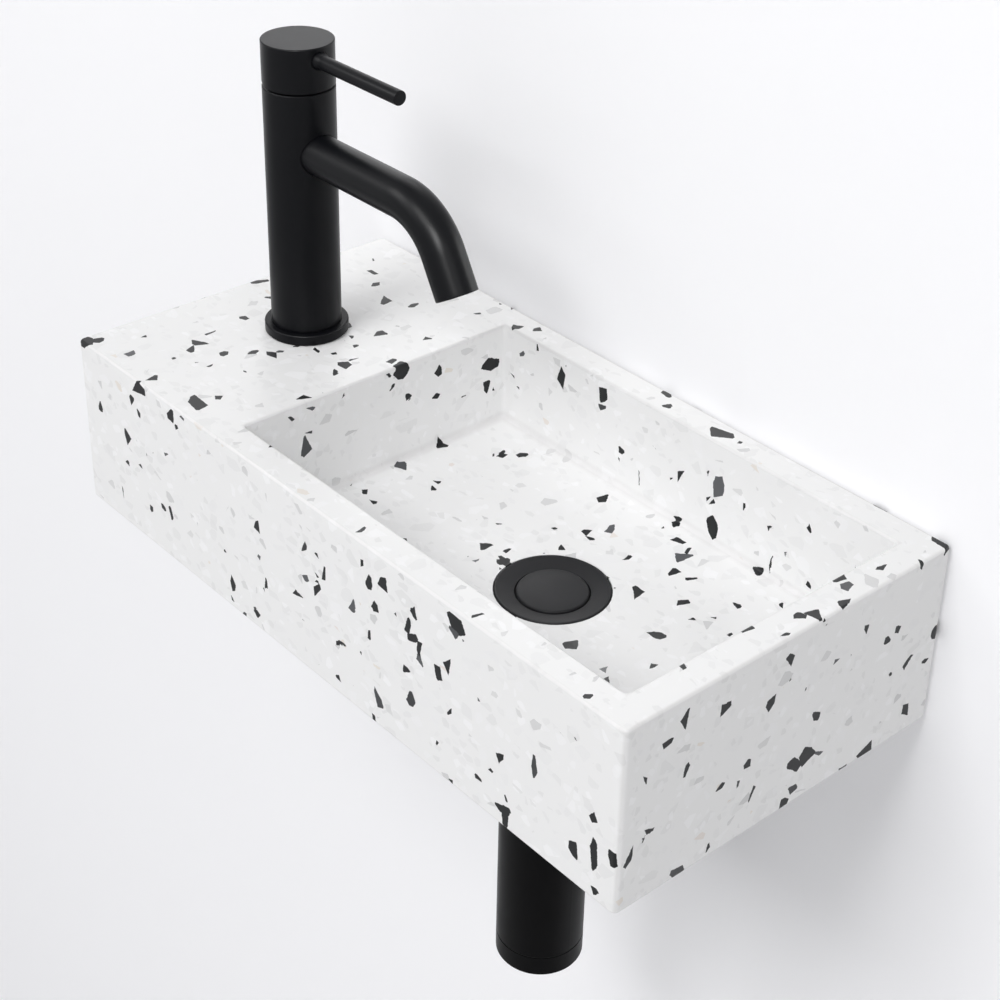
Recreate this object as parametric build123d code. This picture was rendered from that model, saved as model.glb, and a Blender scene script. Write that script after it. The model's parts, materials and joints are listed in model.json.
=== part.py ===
from build123d import *
import os

# Wall hung hand basin with its tap, click waste and bottle trap. Millimetres, +Z up.
# X runs along the wall, the wall is the plane Y = 0 and the front faces -Y.
# Z = 0 is the height of the two wall fixings.

# Basin block
BASIN_W = 450.0
BASIN_D = 220.0
BASIN_H = 105.0
RIM_OVER_FIXING = 84.0
LEDGE_W = 140.0
RIM_WALL = 18.5
BOWL_DEPTH = 62.0
FLOOR_FALL = 4.5
FLOOR_MARGIN = 1.5
BOWL_CORNER_R = 3.0
BOWL_FOOT_R = 2.5
EDGE_R = 1.6
RIM_EDGE_R = 1.4
LEDGE_THICK = 30.0
LEDGE_POCKET_W = 92.0
LEDGE_POCKET_D = 150.0
LEDGE_POCKET_R = 12.0
FIXING_SPACING = 280.0
FIXING_R = 7.0
FIXING_DEPTH = 30.0

# Clearances
SEAT_GAP = 0.3
SLIDE_GAP = 0.06

# Tap, heights above the ledge
TAP_HOLE_R = 17.5
TAP_R = 20.2
TAP_TOP = 149.2
RING_R = 24.2
RING_SEAL_H = 1.0
RING_H = 5.5
RING_STEP_H = 0.6
SPIGOT_R = 18.0
CAP_H = 24.9
CAP_GAP = 1.2
CARTRIDGE_BORE_R = 16.0
CARTRIDGE_R = 14.5
CARTRIDGE_H = 17.0
CARTRIDGE_NECK_R = 10.0
CARTRIDGE_NECK_H = 6.0
SEAT_BELOW_TOP = 23.4
COLLAR_R = 16.6
COLLAR_H = 5.5
CARRIER_R = 8.0
CARRIER_BASE_H = 14.0
PIVOT_OVER_TOP = 8.0
PIVOT_R = 1.5
BLADE_T = 6.0
BLADE_W = 7.0
LIFT_MAX = 18.0
LEVER_OVER_TOP = 18.6
LEVER_R = 4.1
LEVER_REACH = 89.0
LEVER_THREAD_R = 3.0
SPOUT_R = 11.7
SPOUT_BORE_R = 9.0
SPOUT_BELOW_TOP = 35.7
SPOUT_BEND_START = 89.5
SPOUT_BEND_R = 40.0
SPOUT_BEND_ANGLE = 60.0
SPOUT_TAIL = 23.0
AERATOR_R = 9.9
AERATOR_DEEP = 11.0
CHANNEL_R = 3.5
PORT_R = 5.0
PORT_SPACING = 12.0
PORT_DEPTH = 12.0
SHANK_R = 14.0
SHANK_BORE_R = 11.2
SHANK_IN_BODY = 12.0
SHANK_BELOW = 22.0

# Click waste
WASTE_HOLE_R = 23.0
FLANGE_R = 31.0
FLANGE_PROUD = 0.5
FLANGE_RIM_H = 4.0
FLANGE_DISH = 2.2
WASTE_SEAL_H = 1.5
WASHER_H = 3.6
WASHER_WIDE = 9.0
BACKNUT_H = 10.0
BACKNUT_FLANGE_H = 3.0
BACKNUT_WALL = 5.0
PLUG_R = 19.5
PLUG_GAP = 0.7
PLUG_PROUD = 1.0
PLUG_H = 4.0
PLUG_CROWN = 1.3
PLUG_EDGE_R = 0.9
PLUG_SEAL_H = 1.0
TAIL_R = 20.95
TAIL_BORE_R = 17.0
TAIL_BELOW = 33.0
HUB_R = 5.5
HUB_BELOW = 26.0
HUB_H = 12.0
CLICK_BARREL_R = 5.4
CLICK_THREAD_R = 3.9
CLICK_STEM_R = 2.5
PLUG_TRAVEL = 8.0
STEM_GUIDE = 11.5

# Bottle trap
PIPE_R = 16.0
PIPE_WALL = 1.6
TRAP_R = 25.5
TRAP_BORE_R = 23.0
TRAP_BOTTOM = 320.5
CUP_H = 13.0
SEAM_H = 0.8
NECK_R = 20.0
NECK_BORE_R = 16.6
OUTLET_BELOW_RIM = 215.0
SHOULDER_OVER_OUTLET = 25.0
DIP_OVER_FOOT = 35.0
INLET_NUT_R = 25.0
INLET_NUT_OVERLAP = 12.0
NUT_LIP = 5.5
NECK_RISE = 8.0
NECK_OUT = 15.0
SIDE_NUT_GRIP = 11.0
TOP_NUT_GRIP = 7.0
TAPER_SEAL_H = 4.0
NUT_HEAD_H = 7.5
EDGE_BREAK = 1.5
ROSETTE_R = 32.0
ROSETTE_H = 9.0

# Places worked out from the sizes above
Z_RIM = RIM_OVER_FIXING
Z_UNDER = Z_RIM - BASIN_H
Z_FLOOR_EDGE = Z_RIM - BOWL_DEPTH
Z_WASTE = Z_FLOOR_EDGE - FLOOR_FALL
X_LEFT = -BASIN_W / 2
BOWL_L = BASIN_W - LEDGE_W - RIM_WALL
BOWL_W = BASIN_D - 2 * RIM_WALL
BOWL_X = X_LEFT + LEDGE_W + BOWL_L / 2
BOWL_Y = -BASIN_D / 2
TAP_X = X_LEFT + LEDGE_W / 2
TAP_Y = -BASIN_D / 2
WASTE_X = BOWL_X
WASTE_Y = BOWL_Y
RECESS_R = FLANGE_R + 2 * SEAT_GAP
RECESS_DEEP = FLANGE_RIM_H + WASTE_SEAL_H - FLANGE_PROUD


def ring(r_out, r_in, z_low, z_high):
    """A plain ring round the Z axis."""
    outer = Pos(0, 0, z_low) * extrude(Circle(r_out), z_high - z_low)
    return outer - Pos(0, 0, z_low) * extrude(Circle(r_in), z_high - z_low)


def disc(radius, z_low, z_high):
    """A plain round bar round the Z axis."""
    return Pos(0, 0, z_low) * extrude(Circle(radius), z_high - z_low)


def turned(points):
    """A turned piece: its half profile as (radius, height) pairs, spun round the Z axis."""
    profile = make_face(Polyline(*[(r, 0, z) for r, z in points], close=True).edges())
    return revolve(profile, Axis.Z)


def slab(length, width, z_low, z_high, corner_r):
    """A block with rounded upright corners, centred on the Z axis."""
    return Pos(0, 0, z_low) * extrude(RectangleRounded(length, width, corner_r), z_high - z_low)


def hexagon(across_flats, z_low, z_high):
    """A hexagon bar round the Z axis."""
    shape = RegularPolygon(across_flats / 2, 6, major_radius=False)
    return Pos(0, 0, z_low) * extrude(shape, z_high - z_low)


def circle_edges(piece, radius, height):
    """The round edges of a piece that have this radius and lie at this height."""
    found = []
    for edge in piece.edges().filter_by(GeomType.CIRCLE):
        if abs(edge.radius - radius) < 0.01 and abs(edge.center().Z - height) < 0.01:
            found.append(edge)
    return found


def at_tap(piece):
    """Puts a piece made round the Z axis on the tap's axis, its zero height on the ledge."""
    return Pos(TAP_X, TAP_Y, Z_RIM) * piece


def at_waste(piece):
    """Puts a piece made round the Z axis on the waste's axis, its zero height at the rim."""
    return Pos(WASTE_X, WASTE_Y, Z_RIM) * piece


# Basin block

def bowl_hollow():
    """The room that the bowl takes out of the block: upright walls, soft foot, floor falling to the waste."""
    hollow = slab(BOWL_L, BOWL_W, Z_FLOOR_EDGE, Z_RIM + 5, BOWL_CORNER_R)
    hollow = fillet(hollow.faces().sort_by(Axis.Z)[0].edges(), BOWL_FOOT_R)
    inner_l = BOWL_L - 2 * BOWL_FOOT_R
    inner_w = BOWL_W - 2 * BOWL_FOOT_R
    half = RECESS_R + FLOOR_MARGIN
    upper = Pos(0, 0, Z_FLOOR_EDGE) * RectangleRounded(inner_l, inner_w, BOWL_CORNER_R)
    lower = Pos(0, 0, Z_WASTE) * RectangleRounded(2 * half, 2 * half, half - 0.05)
    hollow += loft([upper, lower], ruled=True)
    return Pos(BOWL_X, BOWL_Y, 0) * hollow


def make_basin_block():
    """The cast stone block: bowl, tap and waste holes, pocket under the ledge, holes for the wall fixings."""
    block = Pos(0, -BASIN_D / 2, 0) * slab(BASIN_W, BASIN_D, Z_UNDER, Z_RIM, 2 * EDGE_R)
    around = block.faces().sort_by(Axis.Z)[-1].edges() + block.faces().sort_by(Axis.Z)[0].edges()
    block = fillet(around, EDGE_R)
    block -= bowl_hollow()
    lip = []
    for edge in block.edges().filter_by_position(Axis.Z, Z_RIM - 0.01, Z_RIM + 0.01):
        middle = edge.center()
        inside_x = abs(middle.X - BOWL_X) < BOWL_L / 2 + 0.1
        inside_y = abs(middle.Y - BOWL_Y) < BOWL_W / 2 + 0.1
        if inside_x and inside_y:
            lip.append(edge)
    block = fillet(lip, RIM_EDGE_R)
    tap_hole = Pos(TAP_X, TAP_Y, 0) * disc(TAP_HOLE_R, Z_UNDER - 1, Z_RIM + 1)
    ledge_pocket = slab(LEDGE_POCKET_W, LEDGE_POCKET_D, Z_UNDER - 1, Z_RIM - LEDGE_THICK, LEDGE_POCKET_R)
    waste_hole = disc(WASTE_HOLE_R, Z_UNDER - 1, Z_WASTE + 1)
    waste_recess = disc(RECESS_R, Z_WASTE - RECESS_DEEP, Z_WASTE + 1)
    block -= tap_hole
    block -= Pos(TAP_X, TAP_Y, 0) * ledge_pocket
    block -= Pos(WASTE_X, WASTE_Y, 0) * (waste_hole + waste_recess)
    for side in (-1, 1):
        hole = Cylinder(FIXING_R, FIXING_DEPTH, rotation=(90, 0, 0))
        block -= Pos(side * FIXING_SPACING / 2, -FIXING_DEPTH / 2, 0) * hole
    return block


# Tap

RING_TOP = RING_SEAL_H + RING_H
BODY_FOOT = RING_TOP + RING_STEP_H
SEAT_Z = TAP_TOP - SEAT_BELOW_TOP
CAP_FOOT = TAP_TOP + CAP_GAP
CAP_TOP = CAP_FOOT + CAP_H
PIVOT_Z = TAP_TOP + PIVOT_OVER_TOP
LEVER_Z = TAP_TOP + LEVER_OVER_TOP
SPOUT_Z = TAP_TOP - SPOUT_BELOW_TOP
SHANK_TOP = RING_SEAL_H + SHANK_IN_BODY
COLLAR_TOP = TAP_TOP + COLLAR_H
CAVITY_R = COLLAR_R + 2.2
CAVITY_TOP = COLLAR_TOP + 6.2
WELL_TOP = CAVITY_TOP + 4.5
SOCKET_TOP = WELL_TOP + 6.0
SPOUT_ROOT = TAP_R / 2


def make_tap_base_seal():
    """The flat seal between the tap's ring and the ledge."""
    return at_tap(ring(RING_R - 1.0, SPIGOT_R + SEAT_GAP, 0, RING_SEAL_H))


def make_tap_base_ring():
    """The loose ring that the tap stands on, with a narrow raised step that leaves a shadow line."""
    step_r = SPIGOT_R + 1.4
    points = [
        (SPIGOT_R + SEAT_GAP, RING_SEAL_H),
        (RING_R, RING_SEAL_H),
        (RING_R, RING_TOP),
        (step_r, RING_TOP),
        (step_r, BODY_FOOT),
        (SPIGOT_R + SEAT_GAP, BODY_FOOT),
    ]
    piece = turned(points)
    return at_tap(fillet(circle_edges(piece, RING_R, RING_TOP), 0.8))


def spout_line():
    """The spout's centre line, from its root in the body to its outlet, drawn flat and stood up."""
    run = Line((SPOUT_ROOT, SPOUT_Z), (SPOUT_BEND_START, SPOUT_Z))
    arc = JernArc(run @ 1, run % 1, SPOUT_BEND_R, -SPOUT_BEND_ANGLE)
    tail = Line(arc @ 1, arc @ 1 + (arc % 1) * SPOUT_TAIL)
    return Rot(90, 0, 0) * Wire([run.edge(), arc.edge(), tail.edge()])


def spout_frame():
    """The plane at the outlet, its Z axis pointing out of the spout."""
    line = spout_line()
    return Plane(origin=line @ 1, z_dir=line % 1)


def tube_along(radius):
    """A round bar of this radius along the spout's centre line."""
    line = spout_line()
    start = Plane(origin=line @ 0, z_dir=line % 0)
    return sweep(start * Circle(radius), path=line)


def make_spout():
    """The bent spout tube: its root goes into the body, its outlet is bored out for the aerator."""
    tube = tube_along(SPOUT_R) - tube_along(SPOUT_BORE_R)
    seat = extrude(spout_frame() * Circle(AERATOR_R), -AERATOR_DEEP)
    return at_tap(tube - seat)


def make_aerator_housing():
    """The recessed aerator ring, with two key slots in its face."""
    depth = AERATOR_DEEP - 1.0
    face = spout_frame().offset(-1.0)
    outer = extrude(face * Circle(AERATOR_R - SEAT_GAP), -depth)
    inner = extrude(face * Circle(AERATOR_R - 2.0), -depth + 1.2)
    way = extrude(face * Circle(AERATOR_R - 3.2), -depth)
    slots = extrude(face * Rectangle(2.2, 2 * AERATOR_R), -1.4)
    return at_tap(outer - inner - way - slots)


def make_aerator_screen():
    """The aerator's flow disc, pierced in rings."""
    face = spout_frame().offset(-3.6)
    plate = extrude(face * Circle(AERATOR_R - 2.0 - SEAT_GAP), -(AERATOR_DEEP - 1.0 - 1.2 - 2.6))
    holes = Sketch()
    for count, radius in ((6, 3.0), (12, 5.6)):
        holes += PolarLocations(radius, count) * Circle(0.75)
    holes += Circle(0.9)
    return at_tap(plate - extrude(face * holes, -AERATOR_DEEP))


def make_tap_body():
    """The tap's upright body: spigot, two feed ports and passages, cartridge seat and the spout's socket."""
    points = [
        (0, RING_SEAL_H + 0.5),
        (SPIGOT_R, RING_SEAL_H + 0.5),
        (SPIGOT_R, BODY_FOOT),
        (TAP_R, BODY_FOOT),
        (TAP_R, TAP_TOP),
        (0, TAP_TOP),
    ]
    body = turned(points)
    body = chamfer(circle_edges(body, TAP_R, TAP_TOP), 0.4)
    body -= disc(CARTRIDGE_BORE_R, SEAT_Z, TAP_TOP + 1)
    body -= disc(SHANK_R + SEAT_GAP, 0, SHANK_TOP + SEAT_GAP)
    for side in (-1, 1):
        port = disc(PORT_R, SHANK_TOP, SHANK_TOP + PORT_DEPTH)
        feed = disc(CHANNEL_R, SHANK_TOP, SEAT_Z + 1)
        body -= Pos(0, side * PORT_SPACING / 2, 0) * (port + feed)
    socket = Cylinder(SPOUT_R + SEAT_GAP, TAP_R, rotation=(0, 90, 0))
    body -= Pos(SPOUT_ROOT - SEAT_GAP + TAP_R / 2, 0, SPOUT_Z) * socket
    body -= Pos(SPOUT_ROOT - 2, 0, 0) * disc(CHANNEL_R, SPOUT_Z - CHANNEL_R, SEAT_Z + 1)
    outlet = Cylinder(CHANNEL_R, SPOUT_ROOT, rotation=(0, 90, 0))
    body -= Pos(SPOUT_ROOT, 0, SPOUT_Z) * outlet
    return at_tap(body)


def make_cartridge():
    """The ceramic cartridge's housing, with three water ways in its foot and a bore for the carrier."""
    top = SEAT_Z + CARTRIDGE_H
    points = [
        (0, SEAT_Z),
        (CARTRIDGE_R, SEAT_Z),
        (CARTRIDGE_R, top),
        (CARTRIDGE_NECK_R, top),
        (CARTRIDGE_NECK_R, top + CARTRIDGE_NECK_H),
        (0, top + CARTRIDGE_NECK_H),
    ]
    piece = turned(points)
    piece -= disc(CARRIER_R + SLIDE_GAP, carrier_foot(), top + CARTRIDGE_NECK_H + 1)
    for x, y in ((0, -PORT_SPACING / 2), (0, PORT_SPACING / 2), (SPOUT_ROOT - 2, 0)):
        piece -= Pos(x, y, 0) * disc(CHANNEL_R - 0.5, SEAT_Z - 1, SEAT_Z + 4)
    return at_tap(piece)


def carrier_foot():
    """The height of the carrier's foot inside the cartridge."""
    return SEAT_Z + CARTRIDGE_H + CARTRIDGE_NECK_H - CARRIER_BASE_H


def make_cartridge_nut():
    """The nut that holds the cartridge down, with the smooth collar seen under the cap."""
    neck = CARTRIDGE_NECK_R + SEAT_GAP
    nut_foot = SEAT_Z + CARTRIDGE_H
    points = [
        (neck, nut_foot),
        (CARTRIDGE_BORE_R - SEAT_GAP, nut_foot),
        (CARTRIDGE_BORE_R - SEAT_GAP, TAP_TOP),
        (COLLAR_R, TAP_TOP),
        (COLLAR_R, COLLAR_TOP),
        (neck, COLLAR_TOP),
    ]
    piece = turned(points)
    return at_tap(chamfer(circle_edges(piece, COLLAR_R, COLLAR_TOP), 0.8))


def make_stem_carrier():
    """The part that turns in the cartridge and carries the pivot pin between two cheeks."""
    top = PIVOT_Z + 3.4
    slot_foot = PIVOT_Z - BLADE_W - 1.3
    piece = disc(CARRIER_R, carrier_foot(), top)
    slot = Box(2 * CARRIER_R + 2, BLADE_T + 2 * SLIDE_GAP, top - slot_foot + 1)
    piece -= Pos(0, 0, (top + 1 + slot_foot) / 2) * slot
    pin_hole = Cylinder(PIVOT_R + SLIDE_GAP / 2, 3 * CARRIER_R, rotation=(90, 0, 0))
    return at_tap(piece - Pos(0, 0, PIVOT_Z) * pin_hole)


def make_pivot_pin():
    """The cross pin that the stem tilts on."""
    length = 2 * CARRIER_R - 1.0
    return at_tap(Pos(0, 0, PIVOT_Z) * Cylinder(PIVOT_R, length, rotation=(90, 0, 0)))


def make_stem_blade():
    """The flat stem that tilts on the pivot pin and reaches up into the cap."""
    foot = PIVOT_Z - BLADE_W + 1.0
    head = SOCKET_TOP - 0.5
    piece = Pos(0, 0, (foot + head) / 2) * Box(BLADE_W, BLADE_T, head - foot)
    pin_hole = Cylinder(PIVOT_R + SLIDE_GAP, 2 * BLADE_T, rotation=(90, 0, 0))
    return at_tap(piece - Pos(0, 0, PIVOT_Z) * pin_hole)


def make_handle_cap():
    """The round cap: hollow below, a socket for the stem, its back foot cut away so that it can tilt."""
    piece = disc(TAP_R, CAP_FOOT, CAP_TOP)
    piece = fillet(circle_edges(piece, TAP_R, CAP_TOP), 0.7)
    piece -= disc(CAVITY_R, CAP_FOOT - 1, CAVITY_TOP)
    piece -= disc(CARRIER_R + 2.5, CAP_FOOT - 1, WELL_TOP)
    socket = Box(BLADE_W + 2 * SLIDE_GAP, BLADE_T + 2 * SLIDE_GAP, SOCKET_TOP - CAP_FOOT)
    piece -= Pos(0, 0, (SOCKET_TOP + CAP_FOOT) / 2) * socket
    wedge = Box(3 * TAP_R, 3 * TAP_R, TAP_R)
    clear = PIVOT_OVER_TOP - SEAT_GAP
    cut = Pos(0, 0, PIVOT_Z) * Rot(0, LIFT_MAX, 0) * Pos(0, 0, -clear - TAP_R / 2) * wedge
    piece -= cut & Pos(-3 * TAP_R / 2, 0, CAP_FOOT) * Box(3 * TAP_R, 3 * TAP_R, 3 * TAP_R)
    lever_hole = Cylinder(LEVER_THREAD_R + SEAT_GAP, TAP_R, rotation=(0, 90, 0))
    lever_start = CARRIER_R + 3.0
    piece -= Pos(lever_start + TAP_R / 2, 0, LEVER_Z) * lever_hole
    seat = Cylinder(LEVER_R + 1.2, 4, rotation=(0, 90, 0))
    piece -= Pos(TAP_R - 0.9 + 2, 0, LEVER_Z) * seat
    screw_hole = Cylinder(2.5 + SEAT_GAP, TAP_R, rotation=(0, 90, 0))
    piece -= Pos(-BLADE_W / 2 - TAP_R / 2, 0, grub_z()) * screw_hole
    return at_tap(piece)


def grub_z():
    """The height of the grub screw, in the middle of the stem's socket."""
    return (WELL_TOP + SOCKET_TOP) / 2


def make_lever_pin():
    """The turned pin lever: threaded end, coned root and a straight round bar."""
    root = TAP_R - 0.9
    points = [
        (0, CARRIER_R + 3.0 + SEAT_GAP),
        (LEVER_THREAD_R, CARRIER_R + 3.0 + SEAT_GAP),
        (LEVER_THREAD_R, root),
        (LEVER_R + 0.9, root),
        (LEVER_R + 0.9, root + 1.2),
        (LEVER_R, root + 5.0),
        (LEVER_R, LEVER_REACH),
        (0, LEVER_REACH),
    ]
    piece = turned(points)
    piece = chamfer(circle_edges(piece, LEVER_R, LEVER_REACH), 0.5)
    return at_tap(Pos(0, 0, LEVER_Z) * Rot(0, 90, 0) * piece)


def make_grub_screw():
    """The set screw that holds the cap on the stem, with a hexagon socket in its outer end."""
    inner = BLADE_W / 2 + SEAT_GAP
    length = TAP_R - 4.0 - inner
    piece = disc(2.5, 0, length) - hexagon(2.5, length - 2.5, length + 1)
    return at_tap(Pos(-inner, 0, grub_z()) * Rot(0, -90, 0) * piece)


def make_tap_shank():
    """The threaded tube that passes through the ledge and carries the fixing nut."""
    return at_tap(ring(SHANK_R, SHANK_BORE_R, -LEDGE_THICK - SHANK_BELOW, SHANK_TOP))


def make_shank_seal():
    """The soft washer under the ledge."""
    return at_tap(ring(RING_R - 0.5, SHANK_R + SEAT_GAP, -LEDGE_THICK - 2.5, -LEDGE_THICK))


def make_shank_plate():
    """The metal washer between the soft one and the nut."""
    return at_tap(ring(RING_R - 0.5, SHANK_R + SEAT_GAP, -LEDGE_THICK - 4.5, -LEDGE_THICK - 2.5))


def make_shank_nut():
    """The hexagon nut that pulls the tap down on the ledge."""
    top = -LEDGE_THICK - 4.5
    piece = hexagon(36.0, top - 9.0, top) - disc(SHANK_R + SEAT_GAP, top - 10, top + 1)
    return at_tap(piece)


# Click waste, heights from the rim

FLANGE_TOP = Z_WASTE - Z_RIM + FLANGE_PROUD
FLANGE_FOOT = FLANGE_TOP - FLANGE_RIM_H
DISH_FOOT = FLANGE_TOP - FLANGE_DISH
PLUG_EDGE = DISH_FOOT + PLUG_PROUD
WELL_R = PLUG_R + PLUG_GAP
WELL_FOOT = PLUG_EDGE - PLUG_H - PLUG_SEAL_H
FLOOR_UNDER = -BASIN_H
TAIL_FOOT = FLOOR_UNDER - TAIL_BELOW
HUB_TOP = FLANGE_TOP - HUB_BELOW + HUB_H / 2
BARREL_TOP = WELL_FOOT - 4.3
STEM_FOOT = BARREL_TOP - PLUG_TRAVEL - STEM_GUIDE
BARREL_FOOT = STEM_FOOT - 4.0


def make_waste_body():
    """The waste: dished flange, plug well, shoulder, threaded tail and a three armed hub inside."""
    shoulder_r = WASTE_HOLE_R - 2 * SEAT_GAP
    points = [
        (WELL_R, DISH_FOOT),
        (FLANGE_R - 1.2, FLANGE_TOP),
        (FLANGE_R - 0.5, FLANGE_TOP),
        (FLANGE_R, FLANGE_TOP - 0.5),
        (FLANGE_R, FLANGE_FOOT),
        (shoulder_r, FLANGE_FOOT),
        (shoulder_r, FLANGE_FOOT - 6.0),
        (TAIL_R, FLANGE_FOOT - 7.5),
        (TAIL_R, TAIL_FOOT),
        (TAIL_BORE_R, TAIL_FOOT),
        (TAIL_BORE_R, WELL_FOOT),
        (WELL_R, WELL_FOOT),
    ]
    piece = turned(points)
    hub = disc(HUB_R, HUB_TOP - HUB_H, HUB_TOP)
    for turn in (0, 120, 240):
        arm = Pos((TAIL_BORE_R + 1) / 2, 0, HUB_TOP - HUB_H / 2) * Box(TAIL_BORE_R + 1, 2.6, HUB_H / 2)
        hub += Rot(0, 0, turn) * arm
    piece += hub
    piece -= disc(CLICK_THREAD_R + SEAT_GAP, HUB_TOP - HUB_H - 1, HUB_TOP + 1)
    return at_waste(piece)


def make_waste_seal():
    """The flat seal that the flange sits on in the floor's recess."""
    return at_waste(ring(FLANGE_R - 1.0, WASTE_HOLE_R + 0.5, FLANGE_FOOT - WASTE_SEAL_H, FLANGE_FOOT))


def make_plug_cap():
    """The domed plug, which stands a little over the dish, with a boss below for the click stem."""
    foot = PLUG_EDGE - PLUG_H
    middle = PLUG_R / 2
    crown = ThreePointArc(
        (0, 0, PLUG_EDGE + PLUG_CROWN),
        (middle, 0, PLUG_EDGE + PLUG_CROWN * (1 - (middle / PLUG_R) ** 2)),
        (PLUG_R - PLUG_EDGE_R, 0, PLUG_EDGE + PLUG_CROWN * (1 - (1 - PLUG_EDGE_R / PLUG_R) ** 2)),
    )
    rounding = ThreePointArc(
        crown @ 1,
        (PLUG_R - 0.3 * PLUG_EDGE_R, 0, PLUG_EDGE - 0.3 * PLUG_EDGE_R),
        (PLUG_R, 0, PLUG_EDGE - PLUG_EDGE_R),
    )
    side = Polyline(rounding @ 1, (PLUG_R, 0, foot), (0, 0, foot), crown @ 0)
    piece = revolve(make_face([crown.edge(), rounding.edge(), *side.edges()]), Axis.Z)
    piece += disc(CLICK_BARREL_R, BARREL_TOP + SEAT_GAP, foot)
    piece -= disc(CLICK_STEM_R + SEAT_GAP, BARREL_TOP, PLUG_EDGE - PLUG_H / 2)
    return at_waste(piece)


def make_plug_seal():
    """The soft ring under the plug that closes the waste."""
    return at_waste(ring(PLUG_R - 0.4, PLUG_R - 5.0, PLUG_EDGE - PLUG_H - PLUG_SEAL_H, PLUG_EDGE - PLUG_H))


def make_click_stem():
    """The stem that slides in the click barrel, still guided by it when the plug is up."""
    return at_waste(disc(CLICK_STEM_R, STEM_FOOT, PLUG_EDGE - PLUG_H / 2))


def make_click_barrel():
    """The click mechanism's barrel, screwed into the hub."""
    points = [
        (CLICK_STEM_R + SLIDE_GAP, BARREL_FOOT),
        (CLICK_THREAD_R, BARREL_FOOT),
        (CLICK_THREAD_R, HUB_TOP),
        (CLICK_BARREL_R, HUB_TOP),
        (CLICK_BARREL_R, BARREL_TOP),
        (CLICK_STEM_R + SLIDE_GAP, BARREL_TOP),
    ]
    return at_waste(turned(points))


def make_waste_washer():
    """The soft washer between the stone and the backnut, thinner towards its outer edge."""
    points = [
        (TAIL_R + SEAT_GAP, FLOOR_UNDER),
        (TAIL_R + WASHER_WIDE, FLOOR_UNDER),
        (TAIL_R + WASHER_WIDE, FLOOR_UNDER - WASHER_H + 1.0),
        (TAIL_R + WASHER_WIDE - 3.0, FLOOR_UNDER - WASHER_H),
        (TAIL_R + SEAT_GAP, FLOOR_UNDER - WASHER_H),
    ]
    return at_waste(turned(points))


def make_waste_backnut():
    """The flanged hexagon nut that pulls the waste down."""
    top = FLOOR_UNDER - WASHER_H
    foot = top - BACKNUT_H
    piece = disc(TAIL_R + WASHER_WIDE - 0.5, top - BACKNUT_FLANGE_H, top)
    piece += hexagon(2 * (TAIL_R + BACKNUT_WALL), foot, top - BACKNUT_FLANGE_H)
    return at_waste(piece - disc(TAIL_R + SEAT_GAP, foot - 1, top + 1))


# Bottle trap, heights from the rim

PIPE_BORE_R = PIPE_R - PIPE_WALL
INLET_SEAL_H = 2.0
COLLAR_FOOT = TAIL_FOOT - INLET_SEAL_H - 2.0
OUTLET_Z = -OUTLET_BELOW_RIM
SHOULDER_Z = OUTLET_Z + SHOULDER_OVER_OUTLET
DIP_Z = -TRAP_BOTTOM + DIP_OVER_FOOT
SEAM_TOP = -TRAP_BOTTOM + CUP_H + SEAM_H
NECK_TOP = SHOULDER_Z + NECK_RISE
NECK_END = TRAP_R + NECK_OUT


def make_trap_inlet_nut():
    """The union nut on the waste's tail: it holds the inlet tube's collar up against its seal."""
    points = [
        (TAIL_R + SEAT_GAP, TAIL_FOOT + INLET_NUT_OVERLAP),
        (INLET_NUT_R, TAIL_FOOT + INLET_NUT_OVERLAP),
        (INLET_NUT_R, COLLAR_FOOT - NUT_LIP + EDGE_BREAK),
        (INLET_NUT_R - EDGE_BREAK, COLLAR_FOOT - NUT_LIP),
        (PIPE_R + SEAT_GAP, COLLAR_FOOT - NUT_LIP),
        (PIPE_R + SEAT_GAP, COLLAR_FOOT),
        (TAIL_R + SEAT_GAP, COLLAR_FOOT),
    ]
    return at_waste(turned(points))


def make_inlet_seal():
    """The flat seal between the waste's tail and the inlet tube's collar."""
    return at_waste(ring(TAIL_R, PIPE_BORE_R + 2.5, TAIL_FOOT - INLET_SEAL_H, TAIL_FOOT))


def make_inlet_tube():
    """The inlet tube: it hangs by its collar and dips into the water in the bottle."""
    points = [
        (PIPE_BORE_R, TAIL_FOOT - INLET_SEAL_H),
        (TAIL_R - SEAT_GAP, TAIL_FOOT - INLET_SEAL_H),
        (TAIL_R - SEAT_GAP, COLLAR_FOOT),
        (PIPE_R, COLLAR_FOOT),
        (PIPE_R, DIP_Z),
        (PIPE_BORE_R, DIP_Z),
    ]
    return at_waste(turned(points))


def compression_nut(rim, grip):
    """A compression nut that grips this much of a threaded neck below its rim, with a lip over the seal."""
    points = [
        (NECK_R + SEAT_GAP, rim - grip),
        (TRAP_R, rim - grip),
        (TRAP_R, rim + NUT_HEAD_H - EDGE_BREAK),
        (TRAP_R - EDGE_BREAK, rim + NUT_HEAD_H),
        (PIPE_R + SEAT_GAP, rim + NUT_HEAD_H),
        (PIPE_R + SEAT_GAP, rim + TAPER_SEAL_H),
        (NECK_R + SEAT_GAP, rim + TAPER_SEAL_H),
    ]
    return turned(points)


def compression_seal(rim):
    """The soft tapered ring that the compression nut presses on the pipe and the neck."""
    points = [
        (PIPE_R + SEAT_GAP / 3, rim),
        (NECK_R - SEAT_GAP, rim),
        (NECK_R - SEAT_GAP, rim + 0.6 * TAPER_SEAL_H),
        (PIPE_R + 2.0, rim + TAPER_SEAL_H),
        (PIPE_R + SEAT_GAP / 3, rim + TAPER_SEAL_H),
    ]
    return turned(points)


def to_outlet(piece):
    """Lays a piece that was turned round Z along the outlet, its foot towards the bottle."""
    return at_waste(Pos(0, 0, OUTLET_Z) * Rot(-90, 0, 0) * piece)


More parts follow.
